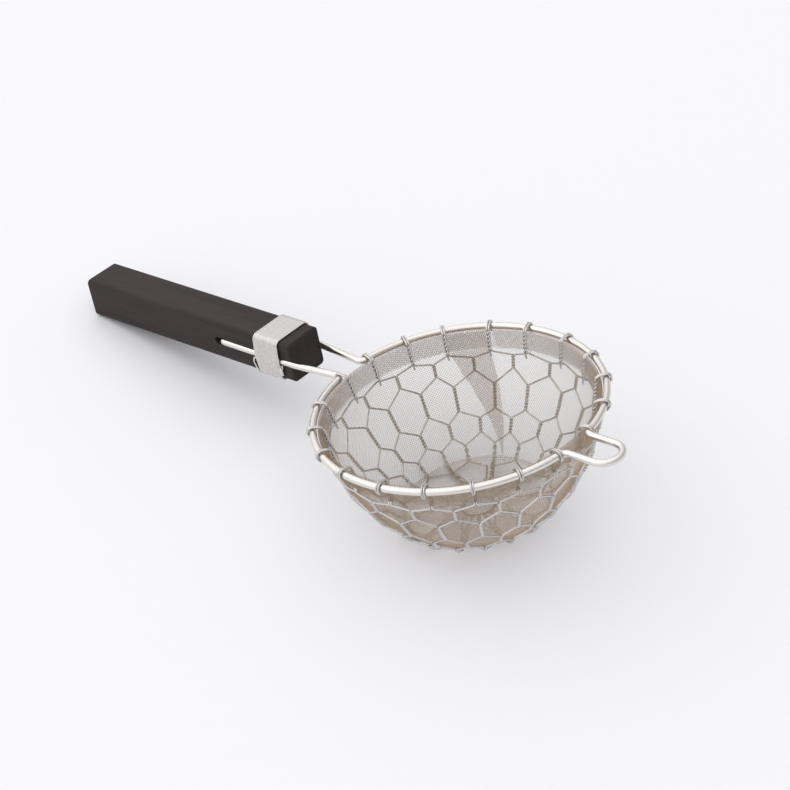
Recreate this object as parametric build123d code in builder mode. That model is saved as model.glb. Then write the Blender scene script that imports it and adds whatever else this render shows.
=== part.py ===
from build123d import *
import os
from math import asin, atan2, cos, hypot, radians, sin, sqrt

# Tea strainer: a hand-woven hexagon wire net round a fine mesh bowl, hung on a thick
# frame wire whose two arms are bound to a square wooden handle. Millimetres.
#
# Everything is drawn on the rim plane: its origin is the centre of the rim, its x axis
# points away from the handle, and its z axis is the axis of the bowl. That plane is
# tilted, because the strainer lies on a table on its handle's tail and on the near edge
# of the bowl's bottom. The world origin is on the table, under the middle of the box.

# ---- driving dimensions ----
RIM_RADIUS = 35.5            # centre line of the rim
FRAME_WIRE = 1.8             # diameter of the frame wire
NET_WIRE = 0.5               # diameter of the net wire and of the binding wire
GAP = 0.02                   # play between wires that lie against each other
PLAY = 0.03                  # play between layers of mesh
CLEAR = 0.05                 # least space between the net and the mesh

BOWL_TOP = -0.15             # upper edge of the mesh wall, just below the rim's centre line
BOWL_DEPTH = 28.9            # rim to the mesh bottom
TOP_RADIUS = 34.0            # mesh wall at its upper edge
MID_RADIUS = 29.6            # mesh wall half way down, which makes it bulge
BOTTOM_RADIUS = 18.7         # mesh wall at the crease with the flat bottom
SHEET = 0.3                  # thickness of one layer of woven mesh
HEM_DEPTH = 5.05             # width of the folded hem
FLANGE = 1.3                 # height of the bottom's turned-up edge
LAP_HEADING = 120.0          # degrees round the bowl to the wedge where the sheet's ends lap
LAP_TOP = (-1.6, 8.8)        # the wedge's sideways reach at its top
LAP_FOOT = (-3.4, -2.4)      # and at its foot
LAP_INSET = 0.4              # the wedge's distance from the hem and from the flange

LANES = 20                   # net wires, and ties round the rim
LANE_STEP = 360 / LANES
ROWS = [(-7.4, -10.6), (-13.5, -19.4), (-21.5, -24.4)]   # twisted pairs, top and bottom
LAST_PAIR = -26.2            # top of the pairs that run over the crease
TIE_HOLE = -5.98             # height at which a tie passes through the mesh
TIE_HOLE_SIZE = 1.3
NET_STANDOFF = 0.2           # clear space between the mesh and the straight net runs
BAND_PLAY = 0.15             # play of the band round the rim wire
BAND_ANGLES = (-45, 15, 75)  # its corners, degrees up from the outward side of the rim
TIE_POINT = (0.4, -1.62)     # where the hairpin bends: out from the rim, and height
TUCK_POINT = (0.1, 1.05)     # where a tie dips inside the hem: in from it, and height
NET_BEND = 0.6               # centre-line radii of the net wire's bends: at the crossings,
BAND_BEND = 1.0              # round the rim,
TUCK_BEND = 0.7              # over the hem
HOLE_BEND = 0.4              # and through the mesh
CENTRE_RING = 4.0            # radius of the ring at the middle of the bottom
SPOKE_ENDS = (16.2, 11.0)    # outer and inner end of the bottom's ten thick spokes
PETAL_RADIUS = 7.2           # where the strands of the petals meet again
SPOKE_LEAN = -4.0            # degrees that the middle of the bottom is turned

HANDLE_FRONT = -51.2
HANDLE_LENGTH = 77.0
HANDLE_SIDE = 11.0           # square section
HANDLE_EDGE = 1.2            # rounding of the four long edges
END_CHAMFER = 0.3
ARM_OFFSET = 5.2             # arm's centre line from the middle of the handle
ARM_HOLE = -77.1             # middle of the slot that an arm's end is bent into
ARM_SET_BACK = 0.4           # the bent end stands this far forward of the slot's middle
SLOT_LENGTH = 3.8
SLOT_WIDTH = 2.2
SLOT_DEPTH = 3.2
ELBOW_ANGLE = 5.93           # degrees from the handle's direction to an elbow
ELBOW_BEND = 1.5             # centre-line radii of the frame wire's tight bends
ARM_BEND = 1.3
ARM_SPLAY = 10.0             # the gentle bend where an arm leaves the handle
HOOK_BEND = 2.0

HOOK_TIP = 48.0              # centre line of the hook's end
HOOK_HALF = 4.17             # half the spacing of the hook's legs

BINDING_BACK = -63.65        # first turn of the binding
BINDING_TURNS = 17
LOOP_REACH = 1.1             # the start's loop stands this far behind the first turn
LOOP_FOOT = -3.2             # height at which the loop turns under the bar
END_HEIGHT = -3.4            # height of the wire's two ends, under the near arm
START_BENDS = [0.5, 0.7, 0.9, 1.0]
ARM_CROSSING = 1.2           # bend where a turn passes over an arm

# ---- derived sizes ----
wire_r = FRAME_WIRE / 2
net_r = NET_WIRE / 2
half_bar = HANDLE_SIDE / 2
tail_x = HANDLE_FRONT - HANDLE_LENGTH
pair = net_r + GAP / 2                  # each strand's offset in a pair
net_bottom = -BOWL_DEPTH - SHEET / 2 - net_r - CLEAR


def arc_through(top, middle, bottom):
    """Centre and radius of the circle through three (r, z) points."""
    (x1, y1), (x2, y2), (x3, y3) = top, middle, bottom
    d = 2 * (x1 * (y2 - y3) + x2 * (y3 - y1) + x3 * (y1 - y2))
    s1, s2, s3 = x1**2 + y1**2, x2**2 + y2**2, x3**2 + y3**2
    cx = (s1 * (y2 - y3) + s2 * (y3 - y1) + s3 * (y1 - y2)) / d
    cy = (s1 * (x3 - x2) + s2 * (x1 - x3) + s3 * (x2 - x1)) / d
    return cx, cy, hypot(x1 - cx, y1 - cy)


arc_x, arc_z, arc_r = arc_through(
    (TOP_RADIUS, BOWL_TOP),
    (MID_RADIUS, (BOWL_TOP - BOWL_DEPTH) / 2),
    (BOTTOM_RADIUS, -BOWL_DEPTH),
)


def wall(z, offset=0.0):
    """Radius of the bowl's wall at height z, moved out along its normal by offset."""
    return arc_x + sqrt((arc_r + offset) ** 2 - (z - arc_z) ** 2)


def net_radius(z):
    return wall(z, SHEET / 2 + NET_STANDOFF + net_r)


# ---- resting pose: the tail's lower edge and two net wires touch the table ----
foot_x = net_radius(net_bottom) * cos(radians(LANE_STEP / 2))
run, drop = -tail_x - foot_x, -net_bottom - half_bar
tilt = atan2(drop, run) + asin(net_r / hypot(run, drop))
rim_height = -tail_x * sin(tilt) + half_bar * cos(tilt)
low_end = tail_x * cos(tilt) - half_bar * sin(tilt)
high_end = (HOOK_TIP + wire_r) * cos(tilt)
rim = Plane(
    origin=(-(low_end + high_end) / 2, 0, rim_height),
    x_dir=(cos(tilt), 0, sin(tilt)),
    z_dir=(-sin(tilt), 0, cos(tilt)),
)
section = Plane(origin=rim.origin, x_dir=rim.x_dir, z_dir=-rim.y_dir)   # (radius, height)
bowl_axis = Axis(rim.origin, rim.z_dir)


def on_rim(x, y, z=0.0):
    """A point of the rim plane's frame, in world coordinates."""
    return rim.from_local_coords((x, y, z))


def heading(angle):
    """Direction in the rim plane, degrees from its x axis."""
    return rim.x_dir * cos(radians(angle)) + rim.y_dir * sin(radians(angle))


def polar(radius, angle, z, side=0.0):
    """A point at a radius and angle round the bowl, moved sideways by side."""
    c, s = cos(radians(angle)), sin(radians(angle))
    return (radius * c - side * s, radius * s + side * c, z)


def save(part, name):
    part.label = name
    export_step(part, f"parts/{name}.step")
    return part


def wire_along(points, radii, diameter):
    """Round wire along straight runs joined by tangent arcs, in the rim plane's frame."""
    with BuildPart() as piece:
        with BuildLine(rim) as path:
            FilletPolyline(*points, radius=radii)
        with BuildSketch(path.line ^ 0):
            Circle(diameter / 2)
        sweep(path=path.line)
    return piece.part


os.makedirs("parts", exist_ok=True)

# ---- handle: a square bar, grooved for the arms and slotted for their bent ends ----
bar_end = Plane(origin=on_rim(tail_x, 0), x_dir=rim.y_dir, z_dir=rim.x_dir)
with BuildPart() as handle:
    with BuildSketch(bar_end):
        Rectangle(HANDLE_SIDE, HANDLE_SIDE)
    extrude(amount=HANDLE_LENGTH)
    fillet(handle.edges().filter_by(Axis(rim.origin, rim.x_dir)), HANDLE_EDGE)
    for face_end in (handle.faces().sort_by(Axis(rim.origin, rim.x_dir))[0],
                     handle.faces().sort_by(Axis(rim.origin, rim.x_dir))[-1]):
        chamfer(face_end.edges(), END_CHAMFER)
    for side in (-1, 1):
        groove_start = Plane(on_rim(ARM_HOLE, side * ARM_OFFSET), rim.y_dir, rim.x_dir)
        with BuildSketch(groove_start):
            Circle(wire_r + GAP)
        extrude(amount=HANDLE_FRONT - ARM_HOLE, mode=Mode.SUBTRACT)
        slot_face = Plane(on_rim(ARM_HOLE, side * half_bar), rim.x_dir, rim.y_dir * -side)
        with BuildSketch(slot_face):
            SlotOverall(SLOT_LENGTH, SLOT_WIDTH)
        extrude(amount=SLOT_DEPTH, mode=Mode.SUBTRACT)
save(handle.part, "handle")

# ---- frame wire: slot, arm, elbow, half rim, hook leg, and the same mirrored ----
elbow = Vector(-RIM_RADIUS * cos(radians(ELBOW_ANGLE)), -RIM_RADIUS * sin(radians(ELBOW_ANGLE)))
arm_front = Vector(HANDLE_FRONT + 1, -ARM_OFFSET)
arm_end = Vector(ARM_HOLE + ARM_SET_BACK, -half_bar + SLOT_DEPTH - wire_r)
arm_way = (elbow - arm_front).normalized()
outward = Vector(arm_way.Y, -arm_way.X)

# the elbow's arc touches the arm's line and, from outside, the rim's circle
base = elbow + outward * ELBOW_BEND
along = base.dot(arm_way)
reach = -along - sqrt(along**2 - base.dot(base) + (RIM_RADIUS + ELBOW_BEND) ** 2)
elbow_centre = base + arm_way * reach
arm_touch = elbow_centre - outward * ELBOW_BEND
rim_start = elbow_centre * (RIM_RADIUS / (RIM_RADIUS + ELBOW_BEND))

# the corner at the foot of the hook's leg touches the rim from outside in the same way
foot_y = -HOOK_HALF - HOOK_BEND
foot_centre = Vector(sqrt((RIM_RADIUS + HOOK_BEND) ** 2 - foot_y**2), foot_y)
rim_end = foot_centre * (RIM_RADIUS / (RIM_RADIUS + HOOK_BEND))
leg_start = foot_centre + Vector(0, HOOK_BEND)
leg_end = Vector(HOOK_TIP - HOOK_HALF, -HOOK_HALF)

with BuildPart() as frame_wire:
    with BuildLine(rim) as frame_path:
        FilletPolyline(
            tuple(arm_end),
            (arm_end.X, -ARM_OFFSET),
            tuple(arm_front),
            tuple(arm_touch),
            radius=(ARM_BEND, ARM_SPLAY),
        )
        RadiusArc(tuple(arm_touch), tuple(rim_start), ELBOW_BEND)
        RadiusArc(tuple(rim_start), (0, -RIM_RADIUS), -RIM_RADIUS)
        RadiusArc((0, -RIM_RADIUS), tuple(rim_end), -RIM_RADIUS)
        RadiusArc(tuple(rim_end), tuple(leg_start), HOOK_BEND)
        Line(tuple(leg_start), tuple(leg_end))
        RadiusArc(tuple(leg_end), (HOOK_TIP, 0), -HOOK_HALF)
        mirror(about=section)
    frame_wire_line = frame_path.wire()
    with BuildSketch(frame_wire_line ^ 0):
        Circle(wire_r)
    sweep(path=frame_wire_line)
save(frame_wire.part, "frame_wire")

# ---- binding wire: turns round the bar and both arms, with a start and a tail ----
corner = half_bar + net_r + GAP                       # wire's centre line at the bar's faces
bulge = ARM_OFFSET + wire_r + net_r + GAP             # and where it passes over an arm
lead_z = -(wire_r + net_r + GAP)                      # the start runs just below the near arm
turn_step = net_r * 2 + GAP / 2
loop_x = BINDING_BACK - LOOP_REACH
last_x = BINDING_BACK + BINDING_TURNS * turn_step
tail_start = last_x + turn_step

binding_points = [
    (tail_start, -corner, END_HEIGHT),
    (tail_start, -corner, lead_z),
    (loop_x, -corner, lead_z),
    (loop_x, -corner, LOOP_FOOT),
    (BINDING_BACK, -corner, -corner),
]
edge_bend = HANDLE_EDGE + net_r
binding_radii = list(START_BENDS)
for turn in range(1, BINDING_TURNS + 1):
    x = BINDING_BACK + turn * turn_step
    binding_points += [
        (x, corner, -corner),
        (x, bulge, 0),
        (x, corner, corner),
        (x, -corner, corner),
        (x, -bulge, 0),
        (x, -corner, -corner),
    ]
    binding_radii += [edge_bend, ARM_CROSSING, edge_bend] * 2
# the last turn stops below the arm
binding_points[-1] = (last_x, -(corner + bulge) / 2, END_HEIGHT)
binding_wire = save(wire_along(binding_points, binding_radii[:-1], NET_WIRE), "binding_wire")


# ---- mesh wall: one sheet rolled into a bowl, its ends lapped in a wedge ----
hem_end = BOWL_TOP - HEM_DEPTH
flange_top = -BOWL_DEPTH + FLANGE
wall_end = -BOWL_DEPTH - SHEET / 2


def shell(top, bottom, inner, outer):
    """Half section of a layer that follows the wall between two offsets."""
    middle = (top + bottom) / 2
    ThreePointArc(*[(wall(z, inner), z) for z in (top, middle, bottom)])
    Line((wall(bottom, inner), bottom), (wall(bottom, outer), bottom))
    ThreePointArc(*[(wall(z, outer), z) for z in (bottom, middle, top)])
    Line((wall(top, outer), top), (wall(top, inner), top))


lap_top, lap_foot = hem_end - LAP_INSET, flange_top + LAP_INSET
with BuildPart() as lap:
    with BuildSketch(section):
        with BuildLine():
            shell(lap_top, lap_foot, -SHEET * 1.5, 0)
        make_face()
    revolve(axis=bowl_axis)
    with BuildSketch(Plane(rim.origin, heading(LAP_HEADING + 90), heading(LAP_HEADING))):
        with BuildLine():
            Polyline((LAP_TOP[0], lap_top), (LAP_TOP[1], lap_top),
                     (LAP_FOOT[1], lap_foot), (LAP_FOOT[0], lap_foot), close=True)
        make_face()
    extrude(amount=TOP_RADIUS + 1, mode=Mode.INTERSECT)

tie_planes = [
    Plane(on_rim(0, 0, TIE_HOLE), x_dir=rim.z_dir, z_dir=heading((lane + 0.5) * LANE_STEP))
    for lane in range(LANES)
]
with BuildPart() as mesh_wall:
    with BuildSketch(section):
        with BuildLine():
            shell(BOWL_TOP, wall_end, -SHEET / 2, SHEET / 2)
        make_face()
    revolve(axis=bowl_axis)
    add(lap.part)
    with BuildSketch(*tie_planes):
        Circle(TIE_HOLE_SIZE / 2)
    extrude(amount=TOP_RADIUS + 1, mode=Mode.SUBTRACT)
save(mesh_wall.part, "mesh_wall")

# ---- mesh hem: a strip folded over the wall's upper edge ----
near, far = SHEET / 2 + PLAY, SHEET * 1.5 + PLAY      # a layer's two faces, off the wall's middle
fold = BOWL_TOP + PLAY
with BuildPart() as mesh_hem:
    with BuildSketch(section):
        with BuildLine():
            for side in (-1, 1):
                for face in (near, far):
                    ThreePointArc(*[(wall(z, side * face), z) for z in
                                    (hem_end, (hem_end + BOWL_TOP) / 2, BOWL_TOP)])
                    brow = (wall(BOWL_TOP, side * face), fold + (SHEET if face == far else 0))
                    Line((wall(BOWL_TOP, side * face), BOWL_TOP), brow)
                Line((wall(hem_end, side * near), hem_end), (wall(hem_end, side * far), hem_end))
            Line((wall(BOWL_TOP, -far), fold + SHEET), (wall(BOWL_TOP, far), fold + SHEET))
            Line((wall(BOWL_TOP, -near), fold), (wall(BOWL_TOP, near), fold))
        make_face()
    revolve(axis=bowl_axis)
save(mesh_hem.part, "mesh_hem")

# ---- mesh bottom: a flat disc with its edge turned up inside the wall ----
floor_top = -BOWL_DEPTH + SHEET / 2
with BuildPart() as mesh_bottom:
    with BuildSketch(section):
        with BuildLine():
            Polyline(
                (0, wall_end),
                (wall(wall_end, -near), wall_end),
                (wall(flange_top, -near), flange_top),
                (wall(flange_top, -far), flange_top),
                (wall(floor_top, -far), floor_top),
                (0, floor_top),
                close=True,
            )
        make_face()
    revolve(axis=bowl_axis)
save(mesh_bottom.part, "mesh_bottom")

# ---- net ring: closed ring that the net starts from, under the middle of the bottom ----
with BuildPart() as net_ring:
    with BuildSketch(section):
        with Locations((CENTRE_RING, net_bottom)):
            Circle(net_r)
    revolve(axis=bowl_axis)
save(net_ring.part, "net_ring")

# ---- net wires: each is a hairpin hung over the rim, its two strands woven down the bowl ----
band_r = wire_r + net_r + BAND_PLAY                   # the band round the rim wire
band_corner = band_r / cos(radians((BAND_ANGLES[1] - BAND_ANGLES[0]) / 2))
inside = SHEET * 1.5 + PLAY + net_r + CLEAR           # a tie's line inside the hem
spoke_out, spoke_in = SPOKE_ENDS
through = hem_end - 0.15                              # where a tie turns out through the mesh
apex = hem_end - 1.05                                 # and where its strands part outside
net_start = CENTRE_RING + net_r + GAP
flank = 3 * pair + GAP                                # a strand beside a spoke's own pair


def band_point(angle):
    """Radius and height of a point round the rim wire, degrees up from the outward side."""
    return (RIM_RADIUS + band_corner * cos(radians(angle)), band_corner * sin(radians(angle)))


def strand(lane, side):
    """Corners and bend radii of one strand, from the hairpin's bend to the middle."""
    here, beside = lane * LANE_STEP, (lane + side / 2) * LANE_STEP
    own = side * pair
    corners = [(RIM_RADIUS + TIE_POINT[0], TIE_POINT[1], here, own, net_r)]
    for angle in BAND_ANGLES:
        corners.append((*band_point(angle), here, own, BAND_BEND))
    corners += [
        (wall(BOWL_TOP, -inside) - TUCK_POINT[0], TUCK_POINT[1], here, own, TUCK_BEND),
        (wall(through, -inside), through, here, own, HOLE_BEND),
        (net_radius(apex), apex, here, own, HOLE_BEND),
    ]
    for row, (top, foot) in enumerate(ROWS):
        angle, offset = (beside, -own) if row % 2 == 0 else (here, own)
        corners.append((net_radius(top), top, angle, offset, NET_BEND))
        corners.append((net_radius(foot), foot, angle, offset, NET_BEND))
    corners.append((net_radius(LAST_PAIR), LAST_PAIR, here, own, NET_BEND))
    corners.append((net_radius(net_bottom), net_bottom, here, own, NET_BEND))
    if int(lane) % 2 == 0:
        corners.append((spoke_out, net_bottom, here, own, NET_BEND))
        corners.append((spoke_in, net_bottom, here + SPOKE_LEAN, own, NET_BEND))
    else:
        next_lane = here + side * LANE_STEP
        corners.append((spoke_out, net_bottom, next_lane, -side * flank, NET_BEND))
        corners.append((spoke_in, net_bottom, next_lane + SPOKE_LEAN, -side * flank, NET_BEND))
        corners.append((PETAL_RADIUS, net_bottom, here + SPOKE_LEAN, own, NET_BEND))
    corners.append((net_start, net_bottom, here + SPOKE_LEAN, own, 0))
    return [polar(r, angle, z, offset) for r, z, angle, offset, _ in corners], \
        [bend for *_, bend in corners]


for number in range(1, LANES + 1):
    left, left_bends = strand(number - 0.5, -1)
    right, right_bends = strand(number - 0.5, 1)
    points = left[::-1] + right
    bends = left_bends[::-1] + right_bends
    save(wire_along(points, bends[1:-1], NET_WIRE), f"net_wire_{number:02d}")
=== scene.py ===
import bpy
import math
import random
import numpy as np
from mathutils import Matrix, Vector


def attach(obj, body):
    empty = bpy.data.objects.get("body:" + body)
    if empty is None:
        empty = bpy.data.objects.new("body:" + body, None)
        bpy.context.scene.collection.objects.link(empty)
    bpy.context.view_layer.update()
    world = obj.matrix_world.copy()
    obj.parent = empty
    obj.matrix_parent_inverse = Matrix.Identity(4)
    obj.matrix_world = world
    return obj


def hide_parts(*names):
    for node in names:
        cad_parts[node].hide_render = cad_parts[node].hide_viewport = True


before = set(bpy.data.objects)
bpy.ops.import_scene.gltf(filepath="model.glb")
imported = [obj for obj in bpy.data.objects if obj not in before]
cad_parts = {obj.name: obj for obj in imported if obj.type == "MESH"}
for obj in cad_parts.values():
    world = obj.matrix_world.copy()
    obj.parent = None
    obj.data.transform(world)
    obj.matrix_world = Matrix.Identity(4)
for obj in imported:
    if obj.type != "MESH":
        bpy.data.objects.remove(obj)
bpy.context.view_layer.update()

# Tea strainer. Shapes are worked out in millimetres in the frame of the rim plane, whose
# origin is the rim's centre, whose x axis points away from the handle and whose z axis is
# the bowl's axis, and are then laid down on the table with the same tilt as the CAD.

# ---- sizes shared with the CAD ----
RIM_RADIUS = 35.5            # centre line of the rim
WIRE_R = 0.9                 # radius of the frame wire
NET_R = 0.25                 # radius of the net wire
BOWL_TOP = -0.15             # upper edge of the mesh wall
BOWL_DEPTH = 28.9            # rim to the mesh bottom
TOP_RADIUS, MID_RADIUS, BOTTOM_RADIUS = 34.0, 29.6, 18.7    # of the wall: top, middle, crease
SHEET = 0.3                  # thickness of one layer of mesh in the CAD
HEM_END = -5.2               # lower edge of the hem
TAIL_X = -128.2              # the handle's tail end
HALF_BAR = 5.5               # half the handle's side
ARM_Y = 5.2                  # arm's centre line from the middle of the handle
HOOK_TIP = 48.0              # centre line of the hook's end
STANDOFF = 0.2               # clear space between the mesh wall and the net
CLEAR = 0.05                 # and between the mesh bottom and the net
GAP = 0.02                   # play between wires that lie against each other
NET_BOTTOM = -BOWL_DEPTH - SHEET / 2 - NET_R - CLEAR
LANES = 20                   # net wires, and ties round the rim
LANE_STEP = 18.0             # degrees

# ---- the woven mesh ----
PITCH = 0.508                # from wire to wire
MESH_R = 0.035               # radius of the mesh wire
LAYER = 0.35                 # between the middles of two layers


def arc_through(top, middle, bottom):
    """Centre and radius of the circle through three points."""
    (x1, y1), (x2, y2), (x3, y3) = top, middle, bottom
    d = 2 * (x1 * (y2 - y3) + x2 * (y3 - y1) + x3 * (y1 - y2))
    s1, s2, s3 = x1**2 + y1**2, x2**2 + y2**2, x3**2 + y3**2
    cx = (s1 * (y2 - y3) + s2 * (y3 - y1) + s3 * (y1 - y2)) / d
    cy = (s1 * (x3 - x2) + s2 * (x1 - x3) + s3 * (x2 - x1)) / d
    return cx, cy, math.hypot(x1 - cx, y1 - cy)


ARC_X, ARC_Z, ARC_R = arc_through((TOP_RADIUS, BOWL_TOP),
                                  (MID_RADIUS, (BOWL_TOP - BOWL_DEPTH) / 2),
                                  (BOTTOM_RADIUS, -BOWL_DEPTH))


def wall(z, offset=0.0):
    """Radius of the bowl's wall at height z, moved out along its normal by offset."""
    return ARC_X + np.sqrt((ARC_R + offset) ** 2 - (z - ARC_Z) ** 2)


def net_radius(z):
    return wall(z, SHEET / 2 + STANDOFF + NET_R)


# the strainer rests on the handle's tail and on the two net wires nearest to the handle
foot_x = net_radius(NET_BOTTOM) * math.cos(math.radians(LANE_STEP / 2))
run, drop = -TAIL_X - foot_x, -NET_BOTTOM - HALF_BAR
TILT = math.atan2(drop, run) + math.asin(NET_R / math.hypot(run, drop))
low_end = TAIL_X * math.cos(TILT) - HALF_BAR * math.sin(TILT)
high_end = (HOOK_TIP + WIRE_R) * math.cos(TILT)
rim_height = -TAIL_X * math.sin(TILT) + HALF_BAR * math.cos(TILT)
MM = 0.001                   # millimetres to metres
LAY = np.array(Matrix.Translation((-(low_end + high_end) / 2 * MM, 0, rim_height * MM))
               @ Matrix.Rotation(-TILT, 4, "Y") @ Matrix.Scale(MM, 4))


def lay(points):
    """Rim frame in millimetres to the shared frame in metres."""
    points = np.asarray(points, float)
    return points @ LAY[:3, :3].T + LAY[:3, 3]


# ---- meshes ----
def mesh_object(name, points, quads, tris=()):
    """A smooth mesh piece from arrays of points and faces, riding on the frame's one body."""
    quads = np.asarray(quads, np.int32).reshape(-1, 4)
    tris = np.asarray(tris, np.int32).reshape(-1, 3)
    mesh = bpy.data.meshes.new(name)
    mesh.vertices.add(len(points))
    mesh.vertices.foreach_set("co", lay(points).astype(np.float32).ravel())
    corners = np.concatenate([quads.ravel(), tris.ravel()])
    starts = np.concatenate([np.arange(len(quads)) * 4, len(quads) * 4 + np.arange(len(tris)) * 3])
    mesh.loops.add(len(corners))
    mesh.loops.foreach_set("vertex_index", corners)
    mesh.polygons.add(len(starts))
    mesh.polygons.foreach_set("loop_start", starts.astype(np.int32))
    mesh.update(calc_edges=True)
    mesh.validate()
    mesh.polygons.foreach_set("use_smooth", np.ones(len(mesh.polygons), bool))
    piece = bpy.data.objects.new(name, mesh)
    bpy.context.scene.collection.objects.link(piece)
    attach(piece, "root")
    return piece


def resample(points, step):
    """Points every step along a polyline."""
    points = np.asarray(points, float)
    length = np.concatenate([[0], np.cumsum(np.linalg.norm(np.diff(points, axis=0), axis=1))])
    count = max(2, int(round(length[-1] / step)) + 1)
    at = np.linspace(0, length[-1], count)
    return np.stack([np.interp(at, length, points[:, k]) for k in range(3)], 1)


def soften(points, passes):
    """Rounds a polyline's corners by averaging neighbours; its ends stay."""
    points = points.copy()
    for _ in range(passes):
        points[1:-1] = points[1:-1] / 2 + (points[:-2] + points[2:]) / 4
    return points


def tube(points, radius, sides=8):
    """Points, quads and end caps of a round wire along a polyline."""
    points = np.asarray(points, float)
    n = len(points)
    way = np.gradient(points, axis=0)
    way /= np.linalg.norm(way, axis=1)[:, None]
    side = np.zeros((n, 3))
    start = np.cross(way[0], (0.3, 0.5, 0.81))      # any direction that no wire starts along
    side[0] = start / np.linalg.norm(start)
    for i in range(1, n):
        s = side[i - 1] - way[i] * side[i - 1].dot(way[i])
        side[i] = s / np.linalg.norm(s)
    other = np.cross(way, side)
    turn = (np.arange(sides) * 2 * math.pi / sides)[None, :, None]
    ring = points[:, None] + radius * (
        np.cos(turn) * side[:, None] + np.sin(turn) * other[:, None])
    a = np.arange((n - 1) * sides).reshape(n - 1, sides)
    b = np.roll(a, -1, axis=1)
    quads = np.stack([a, b, b + sides, a + sides], -1).reshape(-1, 4)
    ends = points[[0, -1]]
    first, last = n * sides, n * sides + 1
    k = np.arange(sides)
    after = (k + 1) % sides
    foot = (n - 1) * sides
    cap0 = np.stack([np.full(sides, first), after, k], 1)
    cap1 = np.stack([np.full(sides, last), foot + k, foot + after], 1)
    return np.vstack([ring.reshape(-1, 3), ends]), quads, np.vstack([cap0, cap1])


def join(parts):
    """Several (points, quads, tris) as one."""
    points, quads, tris, base = [], [], [], 0
    for p, q, t in parts:
        points.append(p)
        quads.append(np.asarray(q).reshape(-1, 4) + base)
        tris.append(np.asarray(t, int).reshape(-1, 3) + base)
        base += len(p)
    return np.vstack(points), np.vstack(quads), np.vstack(tris)


# ---- materials ----
def material(name, color, metallic, roughness):
    mat = bpy.data.materials.new(name)
    mat.use_nodes = True
    shader = mat.node_tree.nodes["Principled BSDF"]
    shader.inputs["Base Color"].default_value = (*color, 1)
    shader.inputs["Metallic"].default_value = metallic
    shader.inputs["Roughness"].default_value = roughness
    return mat, mat.node_tree, shader


def add_node(tree, kind, **values):
    """A new shader node with its inputs set; an underscore stands for a space in their names."""
    node = tree.nodes.new("ShaderNode" + kind)
    for name, value in values.items():
        node.inputs[name.replace("_", " ")].default_value = value
    return node


def steel(name, color, rough_low, rough_high, scale, bump):
    """Drawn wire: its roughness changes along it in patches, with fine draw marks as bump."""
    mat, tree, shader = material(name, color, 1.0, (rough_low + rough_high) / 2)
    coord = add_node(tree, "TexCoord")
    noise = add_node(tree, "TexNoise", Scale=scale, Detail=4)
    spread = add_node(tree, "MapRange", From_Min=0.3, From_Max=0.7,
                      To_Min=rough_low, To_Max=rough_high)
    tree.links.new(coord.outputs["Object"], noise.inputs["Vector"])
    tree.links.new(noise.outputs["Fac"], spread.inputs["Value"])
    tree.links.new(spread.outputs["Result"], shader.inputs["Roughness"])
    marks = add_node(tree, "TexNoise", Scale=scale * 12, Detail=2)
    relief = add_node(tree, "Bump", Strength=bump, Distance=0.00002)
    tree.links.new(coord.outputs["Object"], marks.inputs["Vector"])
    tree.links.new(marks.outputs["Fac"], relief.inputs["Height"])
    tree.links.new(relief.outputs["Normal"], shader.inputs["Normal"])
    return mat


def dark_wood():
    """Close-grained black wood, satin: fine pores and streaks run along the bar."""
    mat, tree, shader = material("dark wood", (0.03, 0.025, 0.026), 0.0, 0.45)
    shader.inputs["Specular IOR Level"].default_value = 0.1
    coord = add_node(tree, "TexCoord")
    turned = add_node(tree, "Mapping", Rotation=(0, TILT, 0))
    stretched = add_node(tree, "Mapping", Scale=(0.06, 1, 1))
    tree.links.new(coord.outputs["Object"], turned.inputs["Vector"])
    tree.links.new(turned.outputs["Vector"], stretched.inputs["Vector"])
    grain = add_node(tree, "TexNoise", Scale=900, Detail=6, Roughness=0.65, Distortion=0.4)
    bands = add_node(tree, "TexNoise", Scale=160, Detail=3)
    tree.links.new(stretched.outputs["Vector"], grain.inputs["Vector"])
    tree.links.new(stretched.outputs["Vector"], bands.inputs["Vector"])
    mixed = add_node(tree, "Mix", Factor=0.45)
    mixed.data_type = "FLOAT"
    tree.links.new(grain.outputs["Fac"], mixed.inputs["A"])
    tree.links.new(bands.outputs["Fac"], mixed.inputs["B"])
    tone = add_node(tree, "ValToRGB")
    dark, light = tone.color_ramp.elements
    dark.position, dark.color = 0.36, (0.025, 0.018, 0.0185, 1)
    light.position, light.color = 0.64, (0.046, 0.035, 0.0355, 1)
    tree.links.new(mixed.outputs["Result"], tone.inputs["Fac"])
    tree.links.new(tone.outputs["Color"], shader.inputs["Base Color"])
    sheen = add_node(tree, "MapRange", To_Min=0.38, To_Max=0.6)
    tree.links.new(grain.outputs["Fac"], sheen.inputs["Value"])
    tree.links.new(sheen.outputs["Result"], shader.inputs["Roughness"])
    relief = add_node(tree, "Bump", Strength=0.25, Distance=0.00008)
    tree.links.new(grain.outputs["Fac"], relief.inputs["Height"])
    tree.links.new(relief.outputs["Normal"], shader.inputs["Normal"])
    return mat


WOOD = dark_wood()
FRAME_STEEL = steel("frame steel", (0.74, 0.705, 0.665), 0.16, 0.28, 300, 0.25)
NET_STEEL = steel("net steel", (0.60, 0.58, 0.555), 0.18, 0.3, 500, 0.2)
BINDING_STEEL = steel("binding steel", (0.70, 0.68, 0.66), 0.22, 0.34, 500, 0.2)
MESH_STEEL = steel("mesh steel", (0.46, 0.375, 0.29), 0.3, 0.45, 900, 0.1)
mesh_shader = MESH_STEEL.node_tree.nodes["Principled BSDF"]
mesh_shader.inputs["Specular Tint"].default_value = (0.84, 0.72, 0.60, 1)


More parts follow.
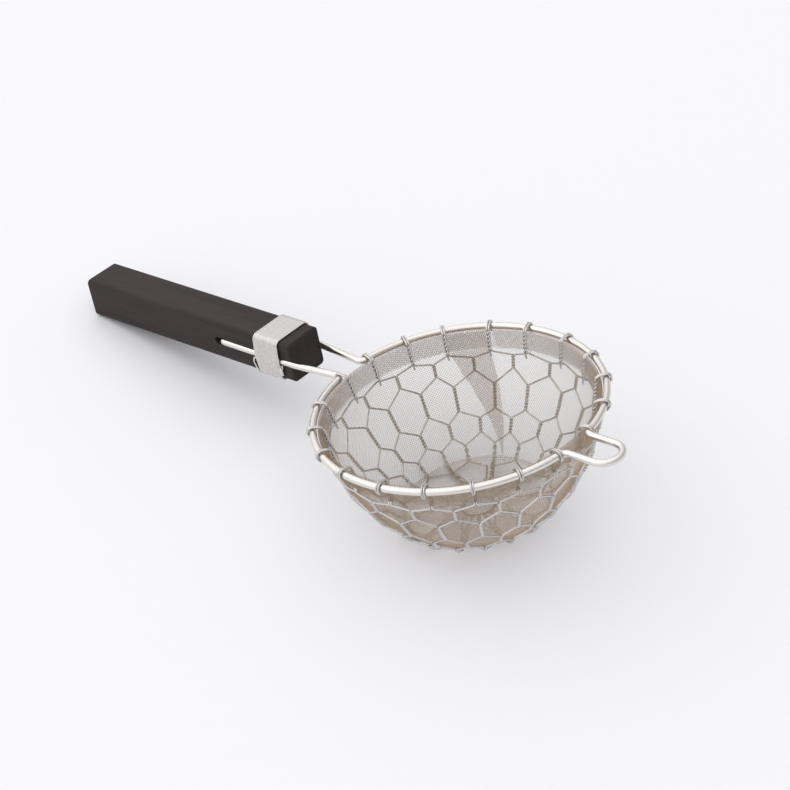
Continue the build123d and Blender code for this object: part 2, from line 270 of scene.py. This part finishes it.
def dress(piece, mat, node):
    """The piece's finish, and the CAD node that it takes the place of."""
    piece.data.materials.append(mat)
    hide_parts(node)


# ---- camera ----
CAMERA_AT = (0.30663, -0.32461, 0.39564)
CAMERA_AIM = (0.01913, -0.00016, 0.025)
CAMERA_ROLL = math.radians(-0.97)

camera = bpy.data.objects.new("camera", bpy.data.cameras.new("camera"))
bpy.context.scene.collection.objects.link(camera)
camera.data.sensor_width = 36
camera.data.lens = 106.1
camera.data.clip_start, camera.data.clip_end = 0.01, 20
camera.location = CAMERA_AT
aim = Vector(CAMERA_AIM) - camera.location
camera.rotation_mode = "QUATERNION"
camera.rotation_quaternion = (aim.to_track_quat("-Z", "Y")
                              @ Matrix.Rotation(CAMERA_ROLL, 4, "Z").to_quaternion())
bpy.context.scene.camera = camera

# ---- woven mesh ----
PROBE = 0.05                 # a wire's direction is taken between points this far to each side
MESH_SIDES = 6


def around(r, theta, z):
    """Points, or directions, from a radius and an angle round the bowl's axis and a height."""
    return np.stack([r * np.cos(theta), r * np.sin(theta), z], -1)


def weave(name, place, keep, nx, ny, sectors=1, sector_of=None, title=None):
    """
    Plain-woven cloth over a surface. place(x, y) gives a point of the surface and its normal for
    developed coordinates in millimetres, and keep(x, y) says where there is cloth. nx and ny are
    the first and last wires to try. The two families of wires cross over and under each other by
    turns. A dense cloth is made in several sectors, and sector_of(x, y) says which.
    """
    i, j = np.meshgrid(np.arange(nx[0], nx[1]), np.arange(ny[0], ny[1]), indexing="ij")
    x, y = i * PITCH, j * PITCH
    there = keep(x, y)
    middle, normal = place(x, y)
    along_x = place(x + PROBE, y)[0] - place(x - PROBE, y)[0]
    along_y = place(x, y + PROBE)[0] - place(x, y - PROBE)[0]
    over = np.where((i + j) % 2 == 0, 1.0, -1.0)[..., None] * MESH_R
    k = np.arange(MESH_SIDES)
    n = (k + 1) % MESH_SIDES
    turn = (k * math.pi / (MESH_SIDES / 2))[:, None]
    group = np.zeros(i.shape, int) if sector_of is None else sector_of(x, y)
    pieces = [[] for _ in range(sectors)]
    for way, lift, axis in ((along_x, over, 0), (along_y, -over, 1)):
        way = way / np.linalg.norm(way, axis=-1, keepdims=True)
        side = np.cross(normal, way)
        ring = (middle + normal * lift)[:, :, None] + MESH_R * (
            np.cos(turn) * side[:, :, None] + np.sin(turn) * normal[:, :, None])
        after = np.roll(there, -1, axis=axis)
        before = np.roll(there, 1, axis=axis)
        if axis == 0:
            after[-1], before[0] = False, False
        else:
            after[:, -1], before[:, 0] = False, False
        index = np.arange(i.size).reshape(i.shape) * MESH_SIDES
        onward = np.roll(index, -1, axis=axis)
        for part in range(sectors):
            mine = there & (group == part)
            run = mine & after
            a, b = index[run][:, None], onward[run][:, None]
            sides = np.stack([a + k, a + n, b + n, b + k], -1).reshape(-1, 4)
            start, end = index[mine & ~before], index[mine & ~after]
            caps = [np.stack([start + p for p in (3, 2, 1, 0)], -1),
                    np.stack([start + p for p in (5, 4, 3, 0)], -1),
                    np.stack([end + p for p in (0, 1, 2, 3)], -1),
                    np.stack([end + p for p in (0, 3, 4, 5)], -1)]
            quads = np.concatenate([sides] + caps)
            used, inverse = np.unique(quads, return_inverse=True)
            pieces[part].append((ring.reshape(-1, 3)[used], inverse.reshape(-1, 4), ()))
    for part in range(sectors):
        label = title or name if sectors == 1 else f"{name}_{part + 1}"
        dress(mesh_object(label, *join(pieces[part])), MESH_STEEL, name)


# the bowl's wall: a fan-shaped sheet, rolled up with its ends lapped in a wedge
BETA_FOOT = math.asin((-BOWL_DEPTH - ARC_Z) / ARC_R)
BETA_TOP = math.asin((BOWL_TOP - ARC_Z) / ARC_R)
SLANT = ARC_R * (BETA_TOP - BETA_FOOT)
FAN = 0.32                   # the flat fan's angle for each radian round the bowl
FAN_SHIFT = 2.0              # the fan is cut this much further out than the mean radius asks for
FAN_START = (TOP_RADIUS + BOTTOM_RADIUS) / 2 / FAN - SLANT / 2 + FAN_SHIFT
FAN_TURN = math.radians(29)             # direction of the weave
FAN_HEADING = math.radians(105)         # where the fan starts round the bowl
FAN_CUT = math.radians(300)             # no cloth here, so the fan's angle may jump
# the sheet's two ends: degrees at the rim's height, per mm and per square mm of height
LAP_START, LAP_END = (119.5, 0.34), (139.0, 0.44, -0.0195)
WALL_FOOT = 0.15                        # the sheet starts this far up from the crease
LAP_LEAD, LAP_EASE = math.radians(5), math.radians(4)    # where the last end sinks inward
LAP_UNDER_HEM = math.radians(3)         # the lap, and this much more, stops below the hem
LAP_TOP = HEM_END + 0.1
WALL_PARTS = 4
WALL_PART_START, WALL_PART = math.radians(104), math.radians(96)


def lap_edges(z):
    """Angles of the sheet's two ends at height z."""
    first = LAP_START[0] + LAP_START[1] * z
    last = LAP_END[0] + LAP_END[1] * z + LAP_END[2] * z * z
    return np.radians(first), np.radians(last)


def fan(x, y):
    """Angle round the bowl and distance up the wall for a point of the flat sheet."""
    rho = np.hypot(x, y)
    phi = np.mod(np.arctan2(y, x) - FAN_TURN, 2 * math.pi)
    phi = np.where(phi > FAN_CUT, phi - 2 * math.pi, phi)
    return FAN_HEADING + phi / FAN, rho - FAN_START


def wall_z(s):
    """Height of the wall at a distance s up from its foot."""
    return ARC_Z + ARC_R * np.sin(BETA_FOOT + s / ARC_R)


def wall_surface(theta, beta):
    """Points and outward normals of the wall at angle theta round the bowl, beta up its arc."""
    point = around(ARC_X + ARC_R * np.cos(beta), theta, ARC_Z + ARC_R * np.sin(beta))
    return point, around(np.cos(beta), theta, np.sin(beta))


def wall_place(x, y):
    theta, s = fan(x, y)
    first, _ = lap_edges(wall_z(s))
    under = np.clip((theta - 2 * math.pi - first + LAP_LEAD) / LAP_EASE, 0, 1)
    inward = LAYER * under * under * (3 - 2 * under)
    point, normal = wall_surface(theta, BETA_FOOT + s / ARC_R)
    return point - normal * inward[..., None], normal


def wall_keep(x, y):
    theta, s = fan(x, y)
    z = wall_z(np.clip(s, 0, SLANT))
    first, last = lap_edges(z)
    sheet = (s > WALL_FOOT) & (s < SLANT) & (theta > first) & (theta < last + 2 * math.pi)
    lapped = theta > first + 2 * math.pi - LAP_UNDER_HEM
    return sheet & ~(lapped & (z > LAP_TOP))


def wall_sector(x, y):
    theta, _ = fan(x, y)
    return np.clip(((theta - WALL_PART_START) / WALL_PART).astype(int), 0, WALL_PARTS - 1)


reach = int((FAN_START + SLANT) / PITCH) + 2
weave("mesh_wall", wall_place, wall_keep, (-reach, reach), (-reach, reach),
      WALL_PARTS, wall_sector)

# the pleat: a third layer in the wedge, between the sheet's two ends, that runs up under the hem
PLEAT_TURN = math.radians(20)           # direction of its weave
PLEAT_HEADING = math.radians(123)
PLEAT_SPAN = (1, SLANT - 0.3)           # its foot and its top, up the wall
PLEAT_REACH = (-40, 90)                 # wires tried


def pleat_flat(x, y):
    """Angle round the bowl and distance up the wall."""
    s = x * math.sin(PLEAT_TURN) + y * math.cos(PLEAT_TURN)
    u = x * math.cos(PLEAT_TURN) - y * math.sin(PLEAT_TURN)
    return PLEAT_HEADING + u / (ARC_X + ARC_R * np.cos(BETA_FOOT + s / ARC_R)), s


def pleat_place(x, y):
    theta, s = pleat_flat(x, y)
    point, normal = wall_surface(theta, BETA_FOOT + s / ARC_R)
    return point - normal * LAYER / 2, normal


def pleat_keep(x, y):
    theta, s = pleat_flat(x, y)
    first, last = lap_edges(wall_z(np.clip(s, 0, SLANT)))
    return (s > PLEAT_SPAN[0]) & (s < PLEAT_SPAN[1]) & (theta > first) & (theta < last)


weave("mesh_wall", pleat_place, pleat_keep, PLEAT_REACH, PLEAT_REACH, title="mesh_wall_pleat")

# the hem: a strip whose weave leans, folded over the wall's upper edge. It leans by 2 cells in 5,
# so the pattern repeats round the rim and the strip's ends join without a mark
HEM_SPAN = ARC_R * (BETA_TOP - math.asin((HEM_END - ARC_Z) / ARC_R))
HEM_FOLD = math.pi * LAYER
HEM_WIDTH = 2 * HEM_SPAN + HEM_FOLD
HEM_CELL = math.sqrt(29)                # cells from one repeat of the pattern to the next
HEM_COS, HEM_SIN = 5 / HEM_CELL, 2 / HEM_CELL
HEM_REPEATS = 78                        # round the rim
HEM_ROUND = HEM_REPEATS * HEM_CELL * PITCH
HEM_HEADING = math.radians(130)         # where its ends join
HEM_PARTS = 2
HEM_MARGIN = 30                         # wires tried beyond the strip's ends


def hem_flat(x, y):
    """Distance round the rim and across the strip."""
    return x * HEM_COS - y * HEM_SIN, x * HEM_SIN + y * HEM_COS


def hem_place(x, y):
    u, t = hem_flat(x, y)
    t = np.clip(t, -1, HEM_WIDTH + 1)
    theta = HEM_HEADING + u / HEM_ROUND * 2 * math.pi
    rise = np.minimum(t, HEM_SPAN)
    fall = np.maximum(t - HEM_SPAN - HEM_FOLD, 0)
    beta = BETA_TOP - (HEM_SPAN - rise + fall) / ARC_R
    round_top = np.clip((t - HEM_SPAN) / LAYER, 0, math.pi)[..., None]
    point, out = wall_surface(theta, beta)
    up = around(-np.sin(beta), theta, np.cos(beta))
    normal = out * np.cos(round_top) + up * np.sin(round_top)
    return point + normal * LAYER, normal


def hem_keep(x, y):
    u, t = hem_flat(x, y)
    return (u >= 0) & (u < HEM_ROUND + PITCH) & (t >= 0) & (t <= HEM_WIDTH)


def hem_sector(x, y):
    return np.clip((hem_flat(x, y)[0] / HEM_ROUND * HEM_PARTS).astype(int), 0, HEM_PARTS - 1)


reach = int(HEM_ROUND * HEM_COS / PITCH) + HEM_MARGIN
drop = int(HEM_ROUND * HEM_SIN / PITCH) + HEM_MARGIN
weave("mesh_hem", hem_place, hem_keep, (-HEM_MARGIN, reach), (-drop, HEM_MARGIN),
      HEM_PARTS, hem_sector)

# the bottom: a disc with its edge crimped, turned up inside the wall and folded back
DISC_R = BOTTOM_RADIUS - 0.75
DISC_TURN = math.radians(26)            # direction of its weave
DISC_BEND = 0.35                        # length over which the edge turns up
DISC_SLOPE = math.pi / 2 + BETA_FOOT    # of the turned-up edge, along the wall
FLANGE = 1.5                            # height of the turned-up edge
CRIMPS, CRIMP_DEPTH, CRIMP_START = 58, 0.11, 0.6    # round the edge, and over what height
FOLD_GAP = 0.2                          # between the edge and the part folded back
FOLD_SHORT = 0.3                        # the folded part stops this short of the disc


def disc_place(x, y):
    rho = np.hypot(x, y)
    theta = np.arctan2(y, x) + DISC_TURN
    fold = np.maximum(rho - DISC_R - FLANGE, 0)
    over_edge = np.maximum(rho - DISC_R, 0) - 2 * fold
    steep = np.clip(over_edge / DISC_BEND, 0, 1)
    lift = np.where(over_edge > DISC_BEND, over_edge - DISC_BEND / 2,
                    over_edge ** 2 / (2 * DISC_BEND))
    r = np.minimum(rho, DISC_R) + over_edge * (1 - steep) + lift * math.cos(DISC_SLOPE)
    r += CRIMP_DEPTH * np.cos(CRIMPS * theta) * np.clip(over_edge / CRIMP_START, 0, 1)
    r -= FOLD_GAP * np.clip(fold / FOLD_GAP, 0, 1)
    tip = steep * DISC_SLOPE
    normal = around(-np.sin(tip), theta, np.cos(tip))
    return around(r, theta, -BOWL_DEPTH + lift * math.sin(DISC_SLOPE)), normal


def disc_keep(x, y):
    return np.hypot(x, y) < DISC_R + 2 * FLANGE - FOLD_SHORT


reach = int((DISC_R + 2 * FLANGE) / PITCH) + 2
weave("mesh_bottom", disc_place, disc_keep, (-reach, reach), (-reach, reach))


# ---- frame wire ----
def rounded(points, radii, step=0.12):
    """A polyline with its corners rounded to the given radii, sampled every step."""
    points = [np.asarray(p, float) for p in points]
    out = [points[0]]
    for before, at, after, r in zip(points, points[1:], points[2:], radii):
        a, b = before - at, after - at
        la, lb = np.linalg.norm(a), np.linalg.norm(b)
        a, b = a / la, b / lb
        half = math.acos(float(np.clip(a.dot(b), -1, 1))) / 2
        if half > math.pi / 2 - 0.004:      # straight on, so there is no corner
            out.append(at)
            continue
        cut = min(r / math.tan(half), 0.49 * la, 0.49 * lb)
        r = cut * math.tan(half)
        middle = (a + b) / np.linalg.norm(a + b)
        centre = at + middle * r / math.sin(half)
        u = at + a * cut - centre
        v = at + b * cut - centre
        whole = math.pi - 2 * half
        for k in range(9):
            part = whole * k / 8
            turned = u * math.sin(whole - part) + v * math.sin(part)
            out.append(centre + turned / math.sin(whole))
    out.append(points[-1])
    return resample(out, step)


def arc(centre, start, end, clockwise=False):
    """Points of an arc in the rim plane."""
    a0 = math.atan2(start[1] - centre[1], start[0] - centre[0])
    a1 = math.atan2(end[1] - centre[1], end[0] - centre[0])
    if clockwise and a1 > a0:
        a1 -= 2 * math.pi
    if not clockwise and a1 < a0:
        a1 += 2 * math.pi
    r = math.dist(centre[:2], start[:2])
    at = np.linspace(a0, a1, max(6, int(abs(a1 - a0) * r / 0.4)))
    return around(r, at, np.zeros(len(at))) + (*centre[:2], 0)


ARM_HOLE, ARM_SET_BACK = -77.1, 0.4     # middle of the slot, and the bent end ahead of it
ARM_TIP_Y = -3.2                        # the bent end's tip, inside the handle
ARM_FRONT = -50.2                       # where an arm leaves the handle's side
ARM_BENDS = (1.3, 10)                   # centre-line radii of the two bends
HOOK_HALF, HOOK_BEND, ELBOW_BEND = 4.17, 2.0, 1.5
ELBOW_ANGLE = math.radians(5.93)        # from the handle's direction

elbow = around(-RIM_RADIUS, ELBOW_ANGLE, 0.0)
arm_front = np.array([ARM_FRONT, -ARM_Y, 0])
arm_way = (elbow - arm_front) / np.linalg.norm(elbow - arm_front)
outward = np.array([arm_way[1], -arm_way[0], 0])
base = elbow + outward * ELBOW_BEND
along = base.dot(arm_way)
elbow_centre = base + arm_way * (-along - math.sqrt(
    along**2 - base.dot(base) + (RIM_RADIUS + ELBOW_BEND) ** 2))
arm_touch = elbow_centre - outward * ELBOW_BEND
rim_start = elbow_centre * (RIM_RADIUS / (RIM_RADIUS + ELBOW_BEND))
foot_y = -HOOK_HALF - HOOK_BEND
foot_centre = np.array([math.sqrt((RIM_RADIUS + HOOK_BEND) ** 2 - foot_y**2), foot_y, 0])
rim_end = foot_centre * (RIM_RADIUS / (RIM_RADIUS + HOOK_BEND))
leg_start = foot_centre + np.array([0, HOOK_BEND, 0])
leg_end = np.array([HOOK_TIP - HOOK_HALF, -HOOK_HALF, 0])
arm_end = ARM_HOLE + ARM_SET_BACK
half_wire = np.vstack([
    rounded([(arm_end, ARM_TIP_Y, 0), (arm_end, -ARM_Y, 0), arm_front, arm_touch], ARM_BENDS, 0.4),
    arc(elbow_centre, arm_touch, rim_start, clockwise=True),
    arc((0, 0, 0), rim_start, rim_end),
    arc(foot_centre, rim_end, leg_start, clockwise=True),
    [leg_end],
    arc((HOOK_TIP - HOOK_HALF, 0, 0), leg_end, (HOOK_TIP, 0, 0)),
])
whole_wire = resample(np.vstack([half_wire, half_wire[::-1] * (1, -1, 1)]), 0.35)
piece = mesh_object("frame_wire", *tube(soften(whole_wire, 1), WIRE_R, 20))
dress(piece, FRAME_STEEL, "frame_wire")

# ---- net wires ----
PAIR = 0.28                  # each strand's distance from the middle of a twisted pair
BAND_R = 1.33                # radius of the band round the rim wire
BAND_ANGLES = range(-30, 91, 15)        # degrees up from the outward side of the rim
HAIRPIN = (0.45, -1.6, 0.14)            # the hairpin's bend: out from the rim, height, half width
TUCK = (-1.5, 1.05)                     # where a tie leaves the rim: out from it, and height
TIE = (0.0, -5.1, 5)                    # a tie inside the bowl: top, foot, half turns
TIE_HOLE = -5.75                        # where it passes through the mesh
TIE_OUT = -6.3                          # and where it comes to lie on the outside
ROWS = [(-7.2, -10.6, 5), (-13.5, -19.4, 8), (-21.4, -24.6, 5)]    # top, foot, half turns
LAST_PAIR = (-26.2, -28.5, 2)           # the pairs that run over the crease
SPOKE_ENDS = (16.2, 11.0)               # outer and inner end of the bottom's twisted spokes
PETAL_RADIUS, PETAL_HALF = 7.2, 0.8     # where a petal's strands meet again; its blunt outer end
CENTRE_RING = 4.0
WRAP_START, WRAP_R = 5.2, 0.52          # a strand's wrap round the ring
WRAP_ANGLES = (-40, -90, -140, -175)
SPOKE_LEAN = math.radians(-4)           # the middle of the bottom is turned by this much
SPOKE_TWIST = 0.25                      # a twisted spoke's reach up and down
TWIST_STEP = 0.1

# the net is twisted by hand: each lane, line between lanes and row is a little off its place
LANE_SHIFTS = {5: 1.5, 6: 0.6, 7: 2.0, 9: 0.3, 10: -2.2, 11: 0.7, 12: 0.4, 13: 0.4, 14: -0.6}
random.seed(4)
lane_shift = [random.uniform(-0.5, 0.5) for _ in range(LANES)]
lane_shift = [LANE_SHIFTS.get(lane, shift) for lane, shift in enumerate(lane_shift)]
half_shift = [random.uniform(-0.7, 0.7) for _ in range(LANES)]
row_shift = [[random.uniform(-0.35, 0.35) for _ in range(LANES)] for _ in ROWS]


def lane_angle(lane):
    """Angle of a lane (n + 0.5) or of the line between two lanes (n), with its own slight error."""
    if abs(lane - round(lane)) < 0.25:
        k = int(round(lane)) % LANES
        return math.radians(lane * LANE_STEP + half_shift[k])
    k = int(math.floor(lane)) % LANES
    return math.radians(lane * LANE_STEP + lane_shift[k])


def on_wall(radius, angle, z, side=0.0, out=0.0):
    """Point on the bowl, moved sideways and out along the wall's normal."""
    beta = math.asin(max(-1, min(1, (z - ARC_Z) / ARC_R)))
    c, s = math.cos(angle), math.sin(angle)
    r = radius + out * math.cos(beta)
    return np.array([r * c - side * s, r * s + side * c, z + out * math.sin(beta)])


def twist(radius_at, angle, top, foot, half_turns, side):
    """One strand of a twisted pair, down the bowl from top to foot; it starts on its own side."""
    count = max(8, int(abs(top - foot) / TWIST_STEP))
    points = []
    for k in range(count + 1):
        f = k / count
        z = top + (foot - top) * f
        turn = half_turns * math.pi * f + (0 if side > 0 else math.pi)
        points.append(on_wall(radius_at(z), angle, z,
                              PAIR * math.cos(turn), PAIR * math.sin(turn)))
    return points


def outside(z):
    """Radius of the net's middle outside the mesh."""
    return float(net_radius(z)) + 0.1


def inside(z):
    """Radius of the ties' middle inside the hem."""
    return float(wall(z, -1.0))


def bottom_point(radius, angle, side=0.0, z=NET_BOTTOM):
    c, s = math.cos(angle), math.sin(angle)
    return np.array([radius * c - side * s, radius * s + side * c, z])


def strand(number, side):
    """One strand of a hairpin, from its bend under the rim to the ring at the middle."""
    lane = number - 0.5
    here = lane_angle(lane)
    points = [on_wall(RIM_RADIUS + HAIRPIN[0], here, HAIRPIN[1], side * HAIRPIN[2])]
    for angle in BAND_ANGLES:
        a = math.radians(angle)
        points.append(on_wall(RIM_RADIUS + BAND_R * math.cos(a), here, BAND_R * math.sin(a),
                              side * PAIR))
    points.append(on_wall(RIM_RADIUS + TUCK[0], here, TUCK[1], side * PAIR))
    points.append(on_wall(inside(0.3), here, 0.45, side * PAIR))
    points += twist(inside, here, *TIE, side)
    # hand is the side of the pair that the strand is on: an odd count of half turns changes it
    hand = -side
    points.append(on_wall(float(wall(-5.7)), here, TIE_HOLE, hand * PAIR))
    points.append(on_wall(outside(TIE_OUT), here, TIE_OUT, hand * PAIR))
    at = lane
    for shifts, (top, foot, half_turns) in zip(row_shift, ROWS):
        # the strand goes on to the line on its own side, and enters that pair from the other
        at += 0.5 * hand
        shift = shifts[int(math.floor(at + 0.01)) % LANES]
        points += twist(outside, lane_angle(at), top + shift, foot + shift, half_turns, -hand)
        hand = -hand if half_turns % 2 == 0 else hand
    here = lane_angle(at + 0.5 * hand)
    points += twist(outside, here, *LAST_PAIR, -hand)
    hand = -hand
    points.append(bottom_point(float(net_radius(NET_BOTTOM)) - 0.1, here, hand * PAIR))
    outer, inner = SPOKE_ENDS
    if number % 2 == 1:                     # a twisted spoke, one whole turn
        for k in range(25):
            f = k / 24
            turn = 2 * math.pi * f + (0 if hand > 0 else math.pi)
            points.append(bottom_point(outer + (inner - outer) * f, here + SPOKE_LEAN * f,
                                       PAIR * math.cos(turn),
                                       NET_BOTTOM - SPOKE_TWIST + SPOKE_TWIST * math.sin(turn)))
    else:                                   # the two strands part round a petal
        beside = here + hand * math.radians(LANE_STEP)
        points.append(bottom_point(outer, beside, -hand * PETAL_HALF))
        points.append(bottom_point(inner, beside + SPOKE_LEAN, -hand * PETAL_HALF))
        points.append(bottom_point(PETAL_RADIUS, here + SPOKE_LEAN, hand * PAIR))
    points.append(bottom_point(WRAP_START, here + SPOKE_LEAN, hand * PAIR, NET_BOTTOM - 0.1))
    for angle in WRAP_ANGLES:
        a = math.radians(angle)
        points.append(bottom_point(CENTRE_RING + WRAP_R * math.cos(a), here + SPOKE_LEAN,
                                   hand * PAIR, NET_BOTTOM - 0.05 + WRAP_R * math.sin(a)))
    return points


def stub(number):
    """The short cut end of a tie, bent down inside the bowl."""
    here = lane_angle(number - 0.5)
    path = resample([on_wall(inside(-4.9), here, -4.9, 0.2),
                     on_wall(inside(-5.4), here, -5.5, 0.05),
                     on_wall(inside(-6.5) + 0.15, here, -6.6, -0.1)], 0.15)
    return tube(soften(path, 2), NET_R)


for number in range(1, LANES + 1):
    left, right = strand(number, -1), strand(number, 1)
    path = resample(np.array(left[::-1] + right), 0.12)
    wire = tube(soften(path, 3), NET_R)
    piece = mesh_object(f"net_wire_{number:02d}", *join([wire, stub(number)]))
    dress(piece, NET_STEEL, f"net_wire_{number:02d}")

ring_path = around(CENTRE_RING, np.linspace(0, 2 * math.pi, 97), np.full(97, NET_BOTTOM - 0.05))
piece = mesh_object("net_ring", *tube(ring_path, NET_R, 10))
dress(piece, NET_STEEL, "net_ring")

# ---- binding wire ----
BINDING_R = 0.238            # a little thinner than in the CAD, so that its turns can be told apart
BINDING_BACK = -63.65        # first turn of the binding
TURNS = 17
TURN_STEP = 0.51
JOG = 0.03                   # how far a turn strays
CORNER_BEND, ARM_CROSSING = 1.45, 1.2   # centre-line radii, at the bar's edges and over an arm
CORNER = HALF_BAR + NET_R + GAP
BULGE = ARM_Y + WIRE_R + NET_R + GAP
UNDER_ARM = -(WIRE_R + NET_R + GAP)
TAIL_R, TAIL_TURNS = 0.26, 2            # the two ends are twisted together below the near arm
TAIL_TOP, TAIL_LENGTH = -1.75, 1.9

last_x = BINDING_BACK + TURNS * TURN_STEP
points = [
    (last_x + TURN_STEP, -CORNER - 0.05, -1.6),
    (last_x + TURN_STEP, -CORNER, UNDER_ARM),
    (BINDING_BACK - 1.1, -CORNER, UNDER_ARM),
    (BINDING_BACK - 1.3, -CORNER - 0.1, -2.6),
    (BINDING_BACK, -CORNER, -CORNER),
]
radii = [0.4, 0.6, 0.7, 1.0]
for turn in range(1, TURNS + 1):
    x = BINDING_BACK + turn * TURN_STEP
    top_x, near_x = x + random.uniform(-JOG, JOG), x + random.uniform(-JOG, JOG)
    points += [
        (x, CORNER, -CORNER), (x, BULGE, 0), (top_x, CORNER, CORNER),
        (top_x, -CORNER, CORNER), (near_x, -BULGE, 0), (x, -CORNER, -CORNER),
    ]
    radii += [CORNER_BEND, ARM_CROSSING, CORNER_BEND] * 2
points[-1] = (last_x, -CORNER - 0.3, -1.9)
parts = [tube(soften(rounded(points, radii[:-1], 0.16), 1), BINDING_R, 10)]
down = np.linspace(0, 1, 40)
for side in (0, math.pi):
    angle = down * TAIL_TURNS * 2 * math.pi + side
    tail = np.stack([last_x + TURN_STEP / 2 + TAIL_R * np.cos(angle),
                     -CORNER - 0.3 + 0.1 * down + TAIL_R * np.sin(angle),
                     TAIL_TOP - TAIL_LENGTH * down], 1)
    parts.append(tube(soften(tail, 1), NET_R, 10))
piece = mesh_object("binding_wire", *join(parts))
dress(piece, BINDING_STEEL, "binding_wire")

# ---- handle: the CAD bar in its own wood ----
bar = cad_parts["handle"]
bar.data.materials.clear()
bar.data.materials.append(WOOD)

# ---- floor and light ----
FLOOR_HALF = 6                          # metres
WINDOW_AT = (-1.5, -0.9, 1.9)           # metres
SKY_TOWARD = (-0.5, -0.35, 0.79)        # direction of the sky's brightest part

floor_mesh = bpy.data.meshes.new("floor")
floor_mesh.from_pydata([(-FLOOR_HALF, -FLOOR_HALF, 0), (FLOOR_HALF, -FLOOR_HALF, 0),
                        (FLOOR_HALF, FLOOR_HALF, 0), (-FLOOR_HALF, FLOOR_HALF, 0)],
                       [], [(0, 1, 2, 3)])
floor_mesh.materials.append(material("floor", (0.82, 0.82, 0.835), 0.0, 0.7)[0])
floor = bpy.data.objects.new("floor", floor_mesh)
bpy.context.scene.collection.objects.link(floor)

light = bpy.data.lights.new("window", "AREA")
light.shape = "DISK"
light.size = 2.2
light.energy = 6
lamp = bpy.data.objects.new("window", light)
lamp.location = WINDOW_AT
lamp.rotation_mode = "QUATERNION"
lamp.rotation_quaternion = (-Vector(WINDOW_AT)).to_track_quat("-Z", "Y")
bpy.context.scene.collection.objects.link(lamp)

world = bpy.data.worlds.new("studio")
bpy.context.scene.world = world
world.use_nodes = True
tree = world.node_tree
sky = tree.nodes["Background"]
sky.inputs["Color"].default_value = (0.99, 0.985, 1.0, 1)
way = add_node(tree, "TexCoord")
toward = add_node(tree, "VectorMath")
toward.operation = "DOT_PRODUCT"
toward.inputs[1].default_value = Vector(SKY_TOWARD).normalized()
glow = add_node(tree, "MapRange", From_Min=-0.05, From_Max=0.75, To_Min=0.6, To_Max=1.33)
glow.interpolation_type = "SMOOTHSTEP"
tree.links.new(way.outputs["Generated"], toward.inputs[0])
tree.links.new(toward.outputs["Value"], glow.inputs["Value"])
tree.links.new(glow.outputs["Result"], sky.inputs["Strength"])
bpy.context.scene.view_settings.view_transform = "Standard"
